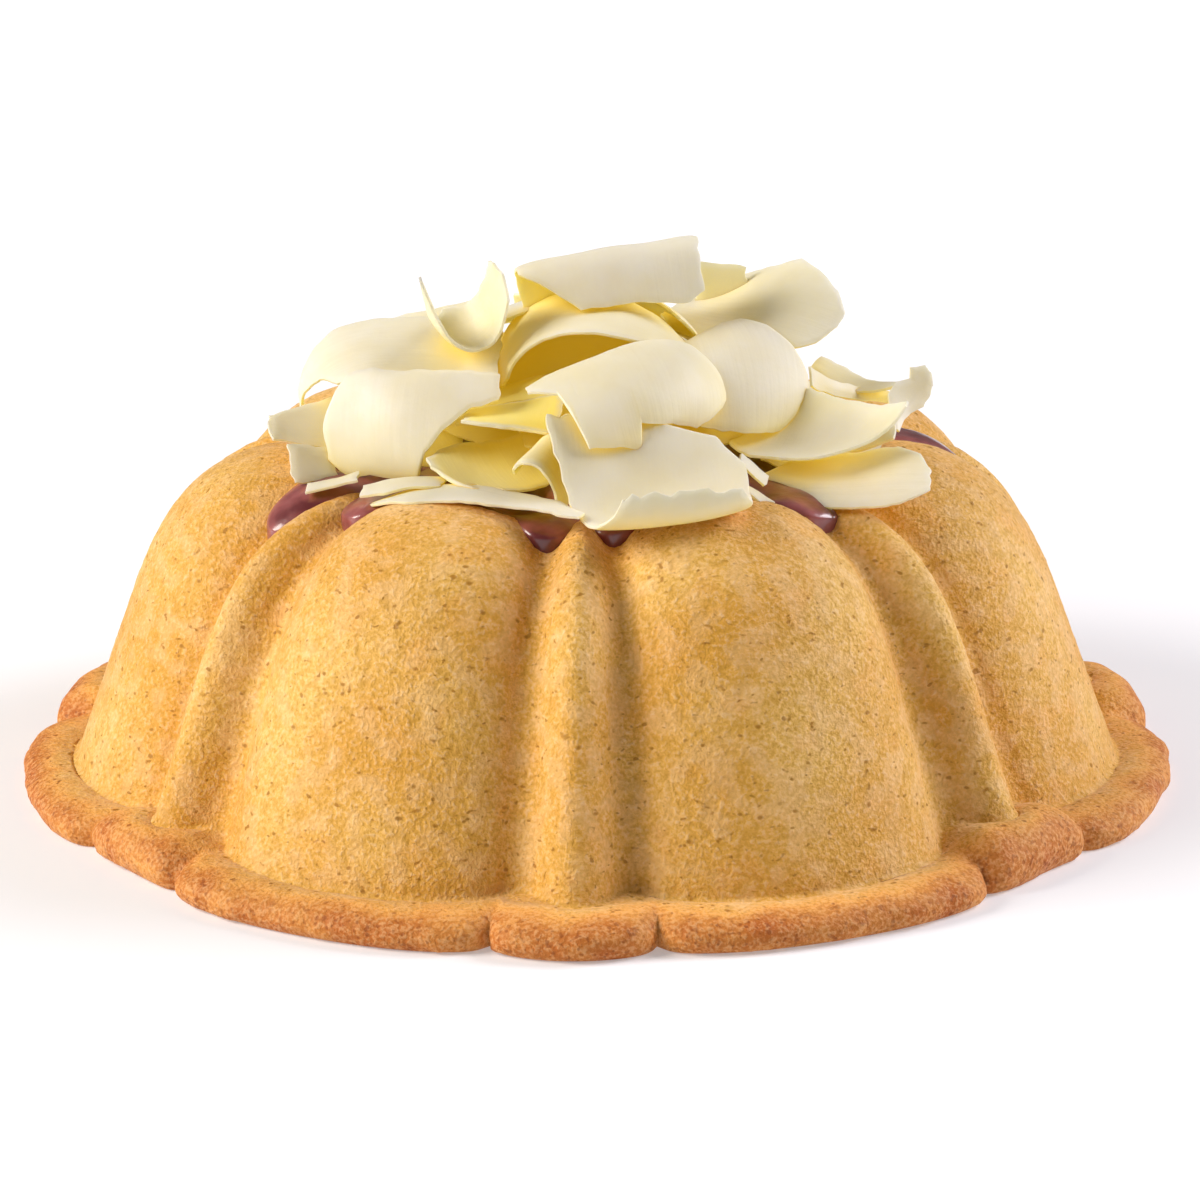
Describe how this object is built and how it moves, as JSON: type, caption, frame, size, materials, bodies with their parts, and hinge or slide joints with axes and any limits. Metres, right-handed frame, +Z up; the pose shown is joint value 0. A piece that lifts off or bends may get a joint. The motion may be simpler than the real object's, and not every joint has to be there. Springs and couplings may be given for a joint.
{
  "type": "pound cake",
  "caption": "Fluted round pound cake turned out of its tin, with berry cream in the dished crown and a heap of white chocolate shavings on top.",
  "frame": {"origin": "middle of the flat underside, on the axis of the fluted tin", "axes": "+Z up out of the crown, -Y towards the front rib, +X to the right as the picture shows it"},
  "size_m": [0.2424, 0.2441, 0.1143],
  "materials": {
    "crust": "matt golden crumb crust",
    "berry_cream": "glossy dark berry cream",
    "white_chocolate": "satin ivory chocolate"
  },
  "bodies": {
    "root": {"cake": "crust", "berry_cream": "berry_cream", "shaving_top_sheet": "white_chocolate", "shaving_back_chip": "white_chocolate", "shaving_back_paddle": "white_chocolate", "shaving_right_dome": "white_chocolate", "shaving_centre_arch": "white_chocolate", "shaving_centre_flag": "white_chocolate", "shaving_front_scoop": "white_chocolate", "shaving_small_roll": "white_chocolate", "shaving_left_sheet": "white_chocolate", "shaving_back_left_bow": "white_chocolate", "shaving_back_left_chip": "white_chocolate", "shaving_horn_curl": "white_chocolate", "shaving_left_wing": "white_chocolate", "shaving_left_fold": "white_chocolate", "shaving_left_sliver": "white_chocolate", "shaving_lower_left_strip": "white_chocolate", "shaving_long_strip": "white_chocolate", "shaving_wedge_upper": "white_chocolate", "shaving_wedge_lower": "white_chocolate", "shaving_under_arch": "white_chocolate", "shaving_under_flag": "white_chocolate", "shaving_right_leaf": "white_chocolate", "shaving_right_hook": "white_chocolate", "shaving_back_right_upper": "white_chocolate", "shaving_back_right_lower": "white_chocolate", "shaving_right_tongue": "white_chocolate", "shaving_right_chip": "white_chocolate", "shaving_splinter_a": "white_chocolate", "shaving_splinter_b": "white_chocolate", "shaving_low_1": "white_chocolate", "shaving_low_2": "white_chocolate", "shaving_low_3": "white_chocolate", "shaving_low_4": "white_chocolate", "shaving_low_5": "white_chocolate", "shaving_low_6": "white_chocolate", "shaving_low_7": "white_chocolate", "shaving_mid_1": "white_chocolate", "shaving_mid_2": "white_chocolate", "shaving_mid_3": "white_chocolate", "shaving_mid_4": "white_chocolate", "shaving_mid_5": "white_chocolate", "shaving_high_1": "white_chocolate", "shaving_high_2": "white_chocolate", "shaving_bed_1": "white_chocolate", "shaving_bed_2": "white_chocolate", "shaving_bed_3": "white_chocolate"}
  },
  "joints": []
}
